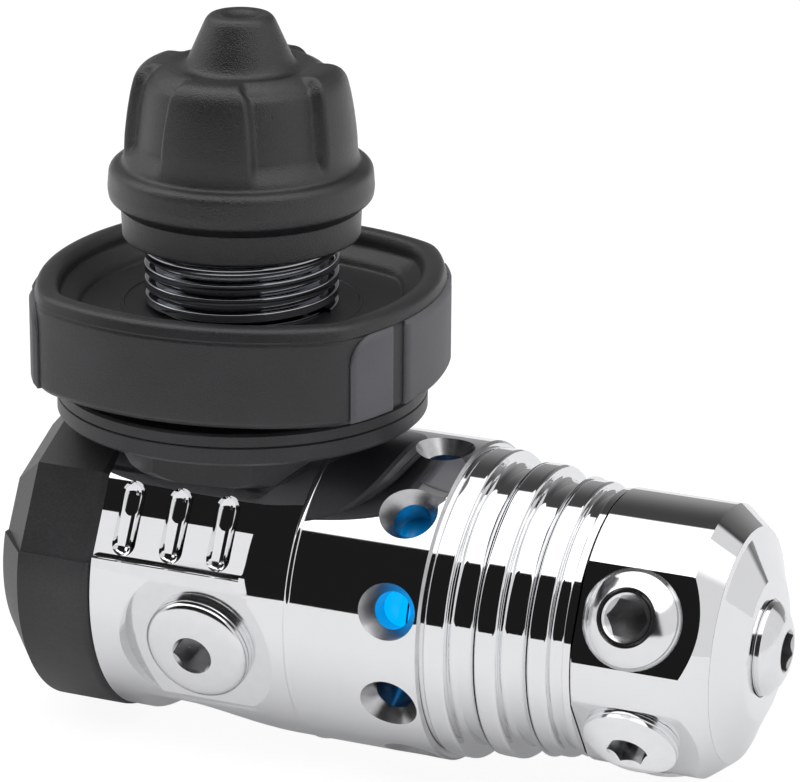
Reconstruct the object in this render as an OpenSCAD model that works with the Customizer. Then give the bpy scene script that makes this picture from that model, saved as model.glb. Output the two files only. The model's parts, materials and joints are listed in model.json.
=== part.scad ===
// First stage of a diving regulator with a DIN connector, as separate pieces.
// +X runs along the barrel to the turret, +Z along the connector, and -Y is the front.
// The origin is on the connector's centre line, at the reference crest of its thread.
// The modules work from the point where the barrel's and the connector's centre lines cross.

/* [Body] */
// Radius of the body and of the barrel's smooth part
body_r = 19; // [18.6:0.1:19.6]
// Distance from the connector's centre line back to the end cover's edge
cover_edge = 11.3; // [11:0.1:11.8]
// Length of the body under the end cover
covered_len = 8.7; // [8.2:0.1:9.2]
// Distance from the connector's centre line to the seam between body and barrel
seam_x = 14.2; // [14:0.1:14.5]
// Angle of the fluted flat above the front
flat_angle = 28.6; // [26:0.1:30]
// Depth of the fluted flat below the body's round
flat_depth = 1.2; // [1.1:0.05:1.3]
// Distance along the barrel from the connector's centre line to the flat's end
flat_end = 8.9; // [8.6:0.1:9.6]
// Height of the shelf under the fluted flat above the barrel's centre line
shelf_z = 5.25; // [5:0.05:5.5]
// Number of flutes
flute_count = 3; // [2:1:3]
// Distance between flutes
flute_pitch = 6.1; // [5.8:0.05:6.3]
// Radius of a flute
flute_r = 1.6; // [1.4:0.05:1.8]
// Depth of a flute in the flat
flute_depth = 1; // [0.8:0.05:1.1]
// Depth of the relief under the body
relief_depth = 2.1; // [1.8:0.1:2.3]
// Radius of the boss that the connector's tube screws into
boss_r = 12; // [11.8:0.1:12.2]
// Height of the boss above the barrel's round
boss_rise = 0.2; // [0.1:0.05:0.4]

/* [End cover] */
// Wall of the end cover over the body's end
cover_wall = 1.6; // [1.4:0.1:1.8]
// Thickness of the cover's end
cover_end_t = 5.2; // [5:0.1:5.4]
// Length of the sloping edge of the cover's end
cover_slope_len = 4.7; // [4.4:0.1:4.9]
// Angle of the sloping edge of the cover's end
cover_slope = 48; // [46:0.5:50]
// Step from the cover's round part down to its upper facets
cover_step = 0.7; // [0.6:0.05:0.75]
// Angle of the cover's top facets
top_facet_angle = 65.2; // [64:0.2:67]

/* [Barrel] */
// Length of the barrel from the seam to the turret
barrel_len = 33.7; // [33.4:0.1:34.2]
// Radius of the bore in which the piston's head runs
bore_r = 14.3; // [14.2:0.05:14.4]
// Distance from the seam to the ambient holes
hole_from_seam = 12.4; // [12.1:0.1:12.6]
// Number of ambient holes
hole_count = 10; // [8:1:10]
// Angle of the first ambient hole above the front
hole_phase = 14.3; // [10:0.1:18]
// Radius of an ambient hole
hole_r = 2.2; // [2:0.05:2.4]
// Radius of an ambient hole's countersink
countersink_r = 3.4; // [3.2:0.05:3.6]
// Radius of the first rib
rib_1_r = 18.3; // [18.1:0.05:18.5]
// Radius of the second rib
rib_2_r = 17.35; // [17.2:0.05:17.5]
// Radius of the third rib
rib_3_r = 16.2; // [16.1:0.05:16.3]
// Radius at the bottom of the groove after the first rib
groove_1_r = 16.4; // [16.3:0.05:16.6]
// Radius at the bottom of the groove after the second rib
groove_2_r = 15.6; // [15.5:0.05:15.8]
// Radius at the bottom of the groove after the third rib
groove_3_r = 15.1; // [15:0.05:15.2]

/* [Turret] */
// Radius of the turret
turret_r = 16; // [15.9:0.05:16.2]
// Length of the turret's round part
turret_len = 12.9; // [12.7:0.1:13.1]
// Length of the turret's nose cone
nose_len = 2.88; // [2.7:0.02:3]
// Radius at the small end of the nose cone
nose_r = 13.76; // [13.7:0.02:13.9]
// Distance of the port faces from the turret's centre line
port_face = 14.9; // [14.8:0.05:14.95]
// Number of low pressure ports round the turret
port_count = 4; // [4:1:4]
// Angle of the first low pressure port above the front
port_phase = 26; // [20:0.5:30]
// Angle between neighbouring low pressure ports
port_step = 60; // [58:0.5:62]
// Radius of a low pressure port, 3/8-24 UNF
low_port_r = 4.76; // [4.7:0.01:4.8]
// Radius of the turret bolt's head
bolt_head_r = 13.3; // [13.1:0.05:13.4]
// Radius of the turret bolt's shank
bolt_r = 8.95; // [8.85:0.05:9]
// Radius of the turret bolt's flat end
bolt_flat_r = 8.4; // [8.2:0.1:8.6]
// Length of the cone of the turret bolt's head
bolt_cone_len = 2.32; // [2.2:0.02:2.5]

/* [Port plugs] */
// Radius of a low pressure plug's head
low_plug_r = 5.58; // [5.54:0.02:5.64]
// Radius of the first low pressure plug's ringed head
ring_plug_r = 5.84; // [5.7:0.02:5.9]
// Height of the first low pressure plug's ringed head
ring_head_h = 2.4; // [2.2:0.1:2.6]
// Height of the other low pressure plugs' heads
low_head_h = 2.1; // [1.9:0.1:2.4]
// Height of the end plug's head
end_head_h = 3.15; // [2.9:0.05:3.4]
// Radius of the high pressure plugs' heads
high_plug_r = 6.5; // [6.4:0.02:6.7]
// Height of the high pressure plugs' heads
high_head_h = 2.7; // [2.5:0.1:3]
// Radius of a high pressure port, 7/16-20 UNF
high_port_r = 5.56; // [5.5:0.01:5.6]
// Angle of the high pressure ports below the level of the barrel
high_port_drop = 13; // [11:0.5:14]
// Distance of the high pressure ports along the barrel from the connector
high_port_x = 2.4; // [2.2:0.1:2.8]
// Radius of the spot face round a high pressure port
spot_r = 9.8; // [9.6:0.1:10.2]
// Distance of the spot face from the barrel's centre line
spot_face = 17.3; // [17.1:0.1:17.5]
// Width across the flats of the hexagon sockets
hex_af = 4.25; // [4:0.1:4.5]

/* [Piston] */
// Distance the piston travels from open to shut
piston_travel = 0.9; // [0.7:0.05:1.1]
// Radius of the piston's stem
stem_r = 4; // [3.9:0.05:4.1]
// Radius of the passage through the piston
piston_bore_r = 1.6; // [1.4:0.1:1.8]
// Thickness of the piston's head
head_t = 6; // [5.8:0.1:6.2]
// Distance from the barrel's seam to the piston's head when open
head_from_seam = 20; // [19.8:0.1:20.2]
// Radius of the high pressure seat
seat_r = 3.5; // [3.3:0.1:3.6]
// Radius of the high pressure chamber
chamber_r = 5.5; // [5.4:0.1:5.6]
// Radius of the bore for seat carrier and stem bushings
guide_r = 6; // [5.95:0.05:6.1]

/* [Main spring] */
// Radius from the barrel's centre line to the spring's wire
spring_r = 12.35; // [12.25:0.05:12.4]
// Radius of the spring's wire
wire_r = 1.4; // [1.3:0.05:1.45]
// Number of curls
curls = 4.5; // [4:0.5:4.5]

/* [Connector] */
// Radius over the thread's crests, G 5/8
thread_r = 11.455; // [11.4:0.005:11.48]
// Radius at the thread's root
thread_root_r = 10.3; // [10.2:0.05:10.4]
// Pitch of the thread
pitch = 1.814; // [1.75:0.002:1.85]
// Width of a thread's crest
crest_w = 0.9; // [0.85:0.01:0.95]
// Number of threads
thread_count = 10; // [10:1:10]
// Radius of the inlet tube on which the connector turns
tube_r = 6.4; // [6.3:0.05:6.45]
// Radius of the passage through the inlet tube
tube_bore_r = 3; // [2.8:0.1:3.2]
// Radius of the inlet tube's head
tube_head_r = 8.6; // [8.5:0.05:8.7]
// Height of the inlet tube's head above the threaded connector
tube_proud = 2.5; // [2.3:0.1:2.7]
// Distance from the top of the body's round down to the collar's lower edge
collar_drop = 4; // [3.8:0.1:4.1]
// Radius of the eight-sided collar over its corners
collar_r = 16; // [15.8:0.1:16.2]
// Height of the collar
collar_t = 5.1; // [5:0.1:5.3]
// Angle of the collar's corners from the barrel
collar_turn = -15.8; // [-17:0.1:-14]
// Radius of the disc under the handwheel
flange_r = 21.95; // [21.7:0.05:22.2]
// Thickness of the disc under the handwheel
flange_t = 3.9; // [3.7:0.1:4.1]

/* [Handwheel] */
// Distance from the disc to the handwheel's underside
wheel_lift = 0.8; // [0.6:0.1:1]
// Height of the handwheel's wall up to its rounded rim
wheel_wall_h = 10.5; // [10.3:0.1:10.7]
// Radius of the rim's rounding
rim_round = 1.5; // [1.2:0.1:1.7]
// Width of the handwheel over its two plain faces
wheel_across = 46; // [45.6:0.1:46.4]
// Radius of the plain faces' curve
face_curve_r = 34; // [33:0.5:35]
// Width of the handwheel over its two grip ends
wheel_length = 47.4; // [47:0.1:48]
// Radius of the grip ends' curve
end_curve_r = 32.4; // [31.5:0.1:33.5]
// Angle from the barrel to the middle of the front plain face
face_turn = -84.5; // [-87:0.5:-82]
// Width of the rim
rim_w = 2.6; // [2.4:0.1:2.8]
// Height of the handwheel's floor above its underside
floor_h = 8; // [7.8:0.1:8.2]
// Thickness of the grip pads
pad_t = 1.2; // [1:0.1:1.4]
// Height of the grip pads above the handwheel's ends
pad_proud = 0.6; // [0.5:0.05:0.7]
// Height of the grip pads
pad_h = 10; // [9.6:0.1:10.4]
// Radius of the connector's hub inside the handwheel
hub_r = 13; // [12.8:0.1:13.2]

/* [Dust cap] */
// Distance from the handwheel's rim to the cap's lower edge
cap_lift = 4.4; // [4.2:0.1:4.6]
// Radius of the cap's skirt
skirt_r = 14.1; // [14:0.05:14.3]
// Height of the cap's skirt
skirt_h = 3.55; // [3.3:0.05:3.8]
// Radius of the cap's brim
brim_r = 15.55; // [15.4:0.05:15.7]
// Height of the cap's brim with its sloping underside
brim_h = 4.95; // [4.7:0.05:5.1]
// Radius of the cap's grip above the brim
grip_r = 13.65; // [13.5:0.05:13.8]
// Radius of the cap's grip at its shoulder
shoulder_r = 12.4; // [12.2:0.05:12.5]
// Height of the cap's grip above the brim up to the top face
grip_h = 11.7; // [11.5:0.1:11.9]
// Radius of the shoulder's rounding
shoulder_round = 3.1; // [2.9:0.1:3.3]
// Number of flats on the cap's grip
cap_flats = 4; // [3:1:4]
// Depth of the flats on the cap's grip
cap_flat_depth = 1.45; // [1.3:0.05:1.5]
// Angle from the barrel to the first flat
cap_flat_turn = -39; // [-42:0.5:-36]
// Radius of the nub at its base
nub_r = 6; // [5.8:0.1:6.2]
// Radius of the nub at its top
nub_top_r = 3.5; // [3.4:0.05:3.7]
// Height of the nub
nub_h = 6.05; // [5.8:0.05:6.3]
// Radius of the gasket in the cap
gasket_r = 9.5; // [9.3:0.1:9.6]
// Thickness of the gasket in the cap
gasket_t = 1.75; // [1.6:0.05:1.85]

/* [Clearances] */
// Gap between a fixed piece and the seat that holds it
fit_gap = 0.05; // [0.03:0.01:0.06]
// Radial gap of a running fit
run_gap = 0.05; // [0.04:0.01:0.08]
// Gap between the turret and the pieces it turns against
turret_gap = 0.1; // [0.08:0.01:0.15]
// Gap between the turning connector and the disc and head it turns against
swivel_gap = 0.2; // [0.15:0.05:0.25]
// Radial gap between the cap and the thread's crests
cap_gap = 0.3; // [0.25:0.05:0.35]
// Gap between a seal and a piece that moves past it
seal_gap = 0.15; // [0.12:0.01:0.18]

/* [Hidden] */
$fn = 96;
over = 1;    // how far a cutter runs past the face it opens
edge = 0.25; // small chamfer on turned edges

// Stations along the barrel
body_end_x = -cover_edge - covered_len;
covered_r = body_r - cover_wall;
barrel_end_x = seam_x + barrel_len;
hole_x = seam_x + hole_from_seam;
spigot_len = 5.4;
spigot_r = 16.05;
spigot_bore_r = bore_r + 0.1;
end_wall_t = 3.8;
turret_x = barrel_end_x + turret_gap;
turret_end_x = turret_x + turret_len;
nose_x = turret_end_x + nose_len;
bolt_seat_x = turret_end_x - 0.1;
bolt_nose_x = nose_x + 0.05;
bolt_end_x = bolt_nose_x + bolt_cone_len;
port_x = turret_x + turret_len / 2;
gallery_w = 4.6;
gallery_r = 10.8;

// Seat, bushings and piston
seat_plug_len = 8;
seat_plug_r = 8.45;
washer_t = 0.7;
carrier_x = body_end_x + seat_plug_len + washer_t;
carrier_len = 6.1;
seat_t = 1.6;
seat_proud = 0.3;
seat_face_x = carrier_x + carrier_len + seat_proud;
step_x = seam_x - 6.4;
bushing_t = 1.3;
stem_ring_w = 1.8;
retainer_r = 7.95;
retainer_seat_x = step_x + 2 * bushing_t + stem_ring_w;
retainer_end_x = seam_x + 0.8;
pad_thick = 1;
piston_tip_x = seat_face_x + piston_travel + 0.02;
head_x = seam_x + head_from_seam;
head_end_x = head_x + head_t;
bolt_start_x = head_end_x + fit_gap;
cross_hole_x = bolt_start_x + 2.1;
bolt_bore_r = 5;

// Heights along the connector
boss_z = body_r + boss_rise;
collar_base = body_r - collar_drop;
collar_z = collar_base + collar_t;
flange_z = collar_z + flange_t;
screw_z = flange_z + swivel_gap;
wheel_z = flange_z + wheel_lift + swivel_gap;
floor_z = wheel_z + floor_h;
rim_z = wheel_z + wheel_wall_h + rim_round;
hub_top_z = floor_z - 0.8;
neck_r = thread_root_r + 0.2;
first_crest_z = floor_z + 1.71;
reference_z = first_crest_z + 2 * pitch;
last_crest_z = first_crest_z + (thread_count - 1) * pitch;
screw_top_z = last_crest_z + 0.97;
head_seat_z = screw_top_z - 1.7;
tube_top_z = screw_top_z + tube_proud;
tube_socket_z = body_r - 10.5;
gasket_z = tube_top_z + 0.25;
roof_z = gasket_z + gasket_t + fit_gap;
cap_z = rim_z + cap_lift;
brim_z = cap_z + skirt_h;
grip_z = brim_z + brim_h;
cap_top_z = grip_z + grip_h;

// Spring
spring_start = seam_x + pad_thick + wire_r;
spring_end = head_x - wire_r;
rings_per_curl = 8;
wire_sides = 6;

// Points [a, b] of an arc round c
function arc(c, r, from, to, n = 8) =
    [for (i = [0:n]) let (t = from + (to - from) * i / n) c + r * [cos(t), sin(t)]];

// Turned piece round Z from [radius, height] points
module turned(points) rotate_extrude() polygon(points);

// Turned piece round the barrel's centre line from [distance, radius] points
module turned_x(points) rotate([0, 90, 0]) rotate_extrude() polygon([for (p = points) [p[1], p[0]]]);

module rod_x(from, to, r) translate([from, 0, 0]) rotate([0, 90, 0]) cylinder(h = to - from, r = r);

module ring_x(from, to, outer, inner)
    turned_x([[from, inner], [to, inner], [to, outer], [from, outer]]);

// Children's +Z points out from the barrel at this angle above the front, their +Y up along its round
module outward(x, angle, distance = 0)
    translate([x, 0, 0]) rotate([90 - angle, 0, 0]) translate([0, 0, distance]) children();

module seal(centre_r, tube_r) rotate_extrude() translate([centre_r, 0]) circle(r = tube_r);

module seal_x(x, centre_r, tube_r) translate([x, 0, 0]) rotate([0, 90, 0]) seal(centre_r, tube_r);

module hexagon(af, h) cylinder(h = h, r = af / sqrt(3), $fn = 6);

// Half-space above z = 0
module far_side(size = 60) translate([-size / 2, -size / 2, 0]) cube(size);

// The pieces are modelled from the crossing of the two centre lines and moved to the reference crest
module placed() translate([0, 0, -reference_z]) children();

// ---- Body ----

flat_face = body_r - flat_depth;
plug_seal_depth = 1.3;
plug_seal_w = 0.65;
plug_socket_d = 1.6;

// Hollow for a port plug: thread, seal's counterbore and passage
module port_hollow(r, depth, passage_r, passage_to) {
    translate([0, 0, -depth]) cylinder(h = depth + over, r = r);
    translate([0, 0, -plug_seal_depth]) cylinder(h = plug_seal_depth + over, r = r + plug_seal_w);
    translate([0, 0, -passage_to]) cylinder(h = passage_to, r = passage_r);
}

// Height of the shelf, measured up along the flat from its middle
shelf_s = (shelf_z - flat_face * sin(flat_angle)) / cos(flat_angle);
flute_top = 5.7;
flute_above_shelf = 0.4;
flute_start_x = -7.7;

module flute_cut() {
    half_width = sqrt(flute_depth * (2 * flute_r - flute_depth));
    high = flute_top - half_width;
    low = shelf_s + flute_above_shelf + half_width;
    lift = flute_r - flute_depth;
    for (i = [0:flute_count - 1])
        outward(flute_start_x + i * flute_pitch, flat_angle, flat_face + lift) {
            translate([0, low, 0]) rotate([-90, 0, 0]) cylinder(h = high - low, r = flute_r);
            translate([0, high, 0]) sphere(r = flute_r);
            translate([0, low, 0]) sphere(r = flute_r);
        }
}

module flat_cut() {
    corner = 2.4;
    corner_s = 4;
    intersection() {
        outward(0, flat_angle, flat_face) linear_extrude(8) {
            translate([-40, -20]) square([40 + flat_end - corner, 40]);
            polygon([[-40, -20], [flat_end - 1.2, -20], [flat_end - 1, shelf_s], [flat_end - 0.55, shelf_s + 0.6],
                [flat_end - 0.4, shelf_s + 1.6], [flat_end, corner_s], [-40, corner_s]]);
            translate([flat_end - corner, corner_s]) circle(r = corner);
        }
        translate([-40, -40, shelf_z]) cube([80, 80, 40]);
    }
}

// Shallow relief under the body, steep at the cover and fading out to the seam
module relief_cut() {
    start = -8.4;
    wall = 1.2;
    level = 5.5;
    fade = 15;
    steps = 8;
    ramp = [for (i = [0:steps]) let (t = i / steps)
        [start + wall + level + fade * t, -relief_depth * (1 + cos(180 * t)) / 2]];
    outward(0, -70, body_r)
        rotate([90, 0, 0]) translate([0, 0, -20]) linear_extrude(40)
            polygon(concat([[start, 0.4], [start + wall, -relief_depth]], ramp, [[start + 27, 3], [start, 3]]));
}

module inlet_body() color([0.8, 0.81, 0.83]) placed() difference() {
    union() {
        turned_x([[body_end_x, 0], [body_end_x, covered_r], [-cover_edge, covered_r],
            [-cover_edge, body_r - edge], [-cover_edge + edge, body_r], [seam_x - edge, body_r],
            [seam_x, body_r - edge], [seam_x, spigot_r], [seam_x + spigot_len, spigot_r],
            [seam_x + spigot_len, spigot_bore_r], [seam_x, spigot_bore_r], [seam_x, 0]]);
        cylinder(h = boss_z, r = boss_r);
    }
    difference() {
        flat_cut();
        cylinder(h = 40, r = boss_r);
    }
    flute_cut();
    relief_cut();
    for (angle = [-high_port_drop, 180 + high_port_drop]) outward(high_port_x, angle, spot_face) {
        cylinder(h = 6, r = spot_r);
        port_hollow(high_port_r, high_plug_len + 1.3, 2.5, spot_face);
    }
    ring_x(seam_x + 1, seam_x + 2.6, spigot_r + over, spigot_r - 0.95);
    rod_x(body_end_x - over, body_end_x + seat_plug_len, seat_plug_r + fit_gap);
    rod_x(body_end_x, seat_face_x + 0.4, guide_r);
    rod_x(0, step_x, chamber_r);
    rod_x(seat_face_x, step_x, chamber_r);
    rod_x(step_x, seam_x + over, guide_r);
    rod_x(retainer_seat_x, seam_x + over, retainer_r + fit_gap);
    translate([0, 0, tube_socket_z]) cylinder(h = 20, r = tube_r + fit_gap);
    cylinder(h = 20, r = tube_bore_r);
}

module end_cover() color([0.16, 0.16, 0.17]) placed() difference() {
    outer = body_r + 0.3;
    end_x = body_end_x - cover_end_t;
    slope_x = end_x + cover_slope_len;
    facet = body_r - cover_step;
    rounding = 0.9;
    intersection() {
        turned_x(concat([[-cover_edge, 0]], arc([-cover_edge - rounding, outer - rounding], rounding, 0, 90, 5),
            [[slope_x, outer], [end_x, outer - cover_slope_len * tan(cover_slope)], [end_x, 0]]));
        difference() {
            translate([-60, -40, -40]) cube([60, 80, 80]);
            for (side = [0, 1]) mirror([0, side, 0])
                intersection() {
                    union() for (angle = [flat_angle, top_facet_angle]) {
                        outward(-30, angle, facet) far_side();
                        outward(slope_x, angle, facet) rotate([0, -cover_slope, 0]) far_side();
                        outward(-cover_edge - 0.7, angle, facet) rotate([0, 35, 0]) far_side();
                    }
                    translate([-60, -60, shelf_z - cover_step]) cube(60);
                }
        }
    }
    rod_x(body_end_x - fit_gap, 0, covered_r + fit_gap);
    translate([0, 0, collar_base - fit_gap]) rotate([0, 0, collar_turn])
        cylinder(h = 30, r = collar_r + 2 * fit_gap, $fn = 8);
    cylinder(h = 30, r = boss_r + fit_gap);
}

module seat_plug() color([0.75, 0.68, 0.45]) placed() difference() {
    turned_x([[body_end_x, 0], [body_end_x, seat_plug_r - edge], [body_end_x + edge, seat_plug_r],
        [body_end_x + seat_plug_len, seat_plug_r], [body_end_x + seat_plug_len, 0]]);
    translate([body_end_x - over, 0, 0]) rotate([0, 90, 0]) hexagon(6, 4 + over);
}

module seat_spring_washer() color([0.6, 0.6, 0.62]) placed()
    ring_x(carrier_x - washer_t, carrier_x, guide_r - 0.4, 3);

carrier_groove_x = carrier_x + 1.8;
carrier_groove_w = 1.6;
carrier_groove_r = 4.5;

module seat_carrier() color([0.75, 0.68, 0.45]) placed() difference() {
    rod_x(carrier_x, carrier_x + carrier_len, guide_r - fit_gap);
    ring_x(carrier_groove_x, carrier_groove_x + carrier_groove_w, guide_r + over, carrier_groove_r);
    rod_x(carrier_x + carrier_len - seat_t + seat_proud, carrier_x + carrier_len + over, seat_r + fit_gap);
}

module seat_carrier_o_ring() color([0.12, 0.12, 0.13]) placed()
    seal_x(carrier_groove_x + carrier_groove_w / 2, (carrier_groove_r + guide_r) / 2,
        (guide_r - carrier_groove_r) / 2 - 0.03);

module seat() color([0.9, 0.9, 0.86]) placed() rod_x(seat_face_x - seat_t, seat_face_x, seat_r);

bushing_x = [step_x, step_x + bushing_t + stem_ring_w];

module stem_bushings() color([0.85, 0.84, 0.78]) placed() for (x = bushing_x)
    ring_x(x, x + bushing_t, guide_r - fit_gap, stem_r + run_gap);

module piston_stem_o_ring() color([0.12, 0.12, 0.13]) placed()
    seal_x(step_x + bushing_t + stem_ring_w / 2, (stem_r + guide_r) / 2 + 0.03,
        (guide_r - stem_r - seal_gap) / 2 - 0.05);

module bushing_retainer() color([0.75, 0.68, 0.45]) placed() difference() {
    ring_x(retainer_seat_x, retainer_end_x, retainer_r, stem_r + 0.3);
    for (side = [-1, 1]) translate([retainer_end_x, side * 6.3, 0]) rotate([0, -90, 0]) cylinder(h = 1.4, r = 0.8);
}

// ---- Barrel, spring and piston ----

// Outline of a rib's rounded shoulders, from its left edge to its right edge
function rib(left, right, r, round = 0.5) = concat(arc([left + round, r - round], round, 180, 90, 4),
    arc([right - round, r - round], round, 90, 0, 4));

// Outline of a groove with rounded corners at the bottom
function groove(left, right, r, fillet = 0.9) = concat(arc([left + fillet, r + fillet], fillet, 180, 270, 5),
    arc([right - fillet, r + fillet], fillet, 270, 360, 5));

smooth_end_x = seam_x + 16.5;
rib_x = [for (d = [16.75, 22.6, 28.6]) seam_x + d];
rib_end_x = [for (d = [19.36, 25.33, 31.06]) seam_x + d];
end_collar_t = 0.8;

module ambient_barrel() color([0.8, 0.81, 0.83]) placed() difference() {
    turned_x(concat([[seam_x, spigot_r + fit_gap], [seam_x, body_r - edge], [seam_x + edge, body_r],
        [smooth_end_x - 0.3, body_r], [smooth_end_x, body_r - 0.3], [smooth_end_x, rib_1_r - 0.4],
        [rib_x[0], rib_1_r - 0.4]],
        rib(rib_x[0], rib_end_x[0], rib_1_r, 0.35), groove(rib_end_x[0], rib_x[1], groove_1_r),
        rib(rib_x[1], rib_end_x[1], rib_2_r), groove(rib_end_x[1], rib_x[2], groove_2_r),
        rib(rib_x[2], rib_end_x[2], rib_3_r, 0.4), groove(rib_end_x[2], barrel_end_x - end_collar_t, groove_3_r, 0.5),
        [[barrel_end_x - end_collar_t, turret_r - edge],
        [barrel_end_x, turret_r - edge], [barrel_end_x, bolt_r + fit_gap],
        [barrel_end_x - end_wall_t, bolt_r + fit_gap], [barrel_end_x - end_wall_t, bore_r],
        [seam_x + spigot_len + 0.2, bore_r], [seam_x + spigot_len + 0.2, spigot_r + fit_gap]]));
    for (i = [0:hole_count - 1]) outward(hole_x, hole_phase + i * 360 / hole_count, bore_r - 2) {
        cylinder(h = 10, r = hole_r);
        translate([0, 0, body_r - bore_r + 2 - 1.9]) cylinder(h = 2.4, r1 = hole_r,
            r2 = hole_r + (countersink_r - hole_r) * 2.4 / 1.75);
    }
}

module barrel_o_ring() color([0.12, 0.12, 0.13]) placed() seal_x(seam_x + 1.8, spigot_r - 0.47, 0.45);

module spring_pad() color([0.14, 0.14, 0.15]) placed() ring_x(seam_x, seam_x + pad_thick, bore_r - 0.1, 10.6);

module piston() color([0.83, 0.84, 0.86]) placed() difference() {
    head_r = bore_r - run_gap;
    ring_groove_x = head_x + 2.2;
    turned_x([[piston_tip_x, piston_bore_r], [piston_tip_x, piston_bore_r + 0.5],
        [piston_tip_x + 1.4, stem_r - 1], [piston_tip_x + 3.4, stem_r - 1], [piston_tip_x + 4.4, stem_r],
        [head_x - 2, stem_r], [head_x, stem_r + 2], [head_x, head_r - edge], [head_x + edge, head_r],
        [ring_groove_x, head_r], [ring_groove_x, head_r - head_groove_d],
        [ring_groove_x + head_groove_w, head_r - head_groove_d], [ring_groove_x + head_groove_w, head_r],
        [head_end_x - edge, head_r], [head_end_x, head_r - edge], [head_end_x, 11], [head_x + 3, 10.5],
        [head_x + 3, 7], [head_end_x, 6.5], [head_end_x, piston_bore_r]]);
}
head_groove_w = 1.9;
head_groove_d = 1.7;

module piston_head_o_ring() color([0.12, 0.12, 0.13]) placed()
    seal_x(head_x + 2.2 + head_groove_w / 2, bore_r - run_gap - head_groove_d / 2 - 0.05, head_groove_d / 2 - 0.08);

// The spring is one tube wound round the barrel's centre line
function coil_centre(t) = [spring_start + (spring_end - spring_start) * t / (360 * curls),
    spring_r * cos(t), spring_r * sin(t)];
function unit(v) = v / norm(v);
function coil_ring(t) =
    let (out = [0, cos(t), sin(t)],
        along = unit(coil_centre(t + 1) - coil_centre(t - 1)),
        side = cross(along, out))
    [for (k = [0:wire_sides - 1]) let (a = 360 * k / wire_sides)
        coil_centre(t) + wire_r * (cos(a) * out + sin(a) * side)];
coil_rings = rings_per_curl * curls;
coil_points = [for (i = [0:coil_rings]) each coil_ring(i * 360 / rings_per_curl)];
function ring_gap(i, j) = min([for (a = [0:wire_sides - 1], b = [0:wire_sides - 1])
    norm(coil_points[i * wire_sides + a] - coil_points[j * wire_sides + b])]);
coil_gap = min([for (i = [0:coil_rings - rings_per_curl - 1], k = [-1:1])
    ring_gap(i, i + rings_per_curl + k)]);
echo(least_gap_between_curls = coil_gap);

module main_spring() color([0.1, 0.45, 0.85]) placed() {
    last = coil_rings * wire_sides;
    polyhedron(points = coil_points, faces = concat(
        [for (i = [0:coil_rings - 1], k = [0:wire_sides - 1]) let (n = (k + 1) % wire_sides)
            [i * wire_sides + k, i * wire_sides + n, (i + 1) * wire_sides + n]],
        [for (i = [0:coil_rings - 1], k = [0:wire_sides - 1]) let (n = (k + 1) % wire_sides)
            [i * wire_sides + k, (i + 1) * wire_sides + n, (i + 1) * wire_sides + k]],
        [for (k = [1:wire_sides - 2]) [0, k + 1, k]],
        [for (k = [1:wire_sides - 2]) [last, last + k, last + k + 1]]));
}

// ---- Turret ----

module turret() color([0.8, 0.81, 0.83]) placed() difference() {
    turned_x([[turret_x, bolt_r + run_gap], [turret_x, turret_r - edge], [turret_x + edge, turret_r],
        [turret_end_x, turret_r], [nose_x, nose_r], [nose_x, bolt_head_r + turret_gap],
        [bolt_seat_x - turret_gap, bolt_head_r + turret_gap], [bolt_seat_x - turret_gap, bolt_r + run_gap]]);
    ring_x(turret_x - over, turret_x + 0.5, 13, 0);
    ring_x(port_x - gallery_w / 2, port_x + gallery_w / 2, gallery_r, 0);
    for (i = [0:port_count - 1]) outward(port_x, port_phase - i * port_step, port_face) {
        translate([-turret_r, -turret_r, 0]) cube([2.5 * turret_r, 2 * turret_r, turret_r]);
        port_hollow(low_port_r, port_face - gallery_r + 0.4, 2.2, port_face - bolt_r - 0.6);
    }
}

module turret_washer() color([0.85, 0.84, 0.78]) placed() ring_x(barrel_end_x, barrel_end_x + 0.5, 12.9, bolt_r + 0.1);

bolt_groove_w = 1.4;
bolt_groove_d = 1.05;
bolt_groove_x = [turret_x + 1.3, bolt_seat_x - turret_gap - 2.2 - bolt_groove_w];

module turret_bolt() color([0.8, 0.81, 0.83]) placed() difference() {
    turned_x([[bolt_start_x, 0], [bolt_start_x, bolt_r], [bolt_seat_x, bolt_r], [bolt_seat_x, bolt_head_r],
        [bolt_nose_x, bolt_head_r], [bolt_nose_x + 0.12, bolt_head_r - 0.12],
        [bolt_end_x, bolt_flat_r], [bolt_end_x, 0]]);
    rod_x(bolt_start_x - over, port_x + 3, bolt_bore_r);
    rod_x(port_x, bolt_end_x, 2);
    for (x = bolt_groove_x) ring_x(x, x + bolt_groove_w, bolt_r + over, bolt_r - bolt_groove_d);
    for (angle = [0, 90]) {
        translate([cross_hole_x, 0, 0]) rotate([angle, 0, 0]) cylinder(h = 30, r = 1.4, center = true);
        translate([port_x, 0, 0]) rotate([angle, 0, 0]) cylinder(h = 30, r = 2, center = true);
    }
    translate([end_seat_x, 0, 0]) rotate([0, 90, 0]) {
        port_hollow(low_port_r, end_plug_len + 0.6, 2, 8);
        cylinder(h = over + end_plug_sink, r = low_plug_r + 0.15);
    }
}
end_plug_sink = 0.6;
end_seat_x = bolt_end_x - end_plug_sink;

module turret_o_rings() color([0.12, 0.12, 0.13]) placed() for (x = bolt_groove_x)
    seal_x(x + bolt_groove_w / 2, bolt_r - bolt_groove_d / 2, bolt_groove_d / 2 - 0.03);

// ---- Port plugs: seat face at z = 0 ----

socket_cone_r = 2;
socket_rim_r = 2.6;
ring_socket_rim_r = 2.85;
low_plug_len = 3.5;
end_plug_len = 5;
high_plug_len = 5;

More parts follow.
